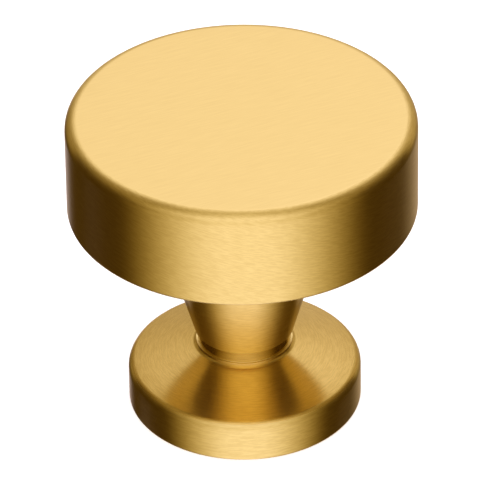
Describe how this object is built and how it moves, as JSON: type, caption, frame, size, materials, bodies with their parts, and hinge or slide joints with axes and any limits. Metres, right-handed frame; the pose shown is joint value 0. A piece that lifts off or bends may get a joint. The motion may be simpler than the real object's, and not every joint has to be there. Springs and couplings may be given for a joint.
{
  "type": "cabinet knob",
  "caption": "Round cabinet knob in satin brass: a flat disc head on a stem that narrows to a coned base, with a tapped blind hole in the back for its fixing screw.",
  "frame": {"origin": "centre of the mounting face, on the back of the base", "axes": "+Z along the knob's axis, out of the drawer front towards the head"},
  "size_m": [0.032, 0.032, 0.0308],
  "materials": {
    "satin_brass": "satin brushed: straight grain on the top of the head, turned grain round every other surface, clear lacquer"
  },
  "bodies": {
    "root": {"knob": "satin_brass"}
  },
  "joints": []
}
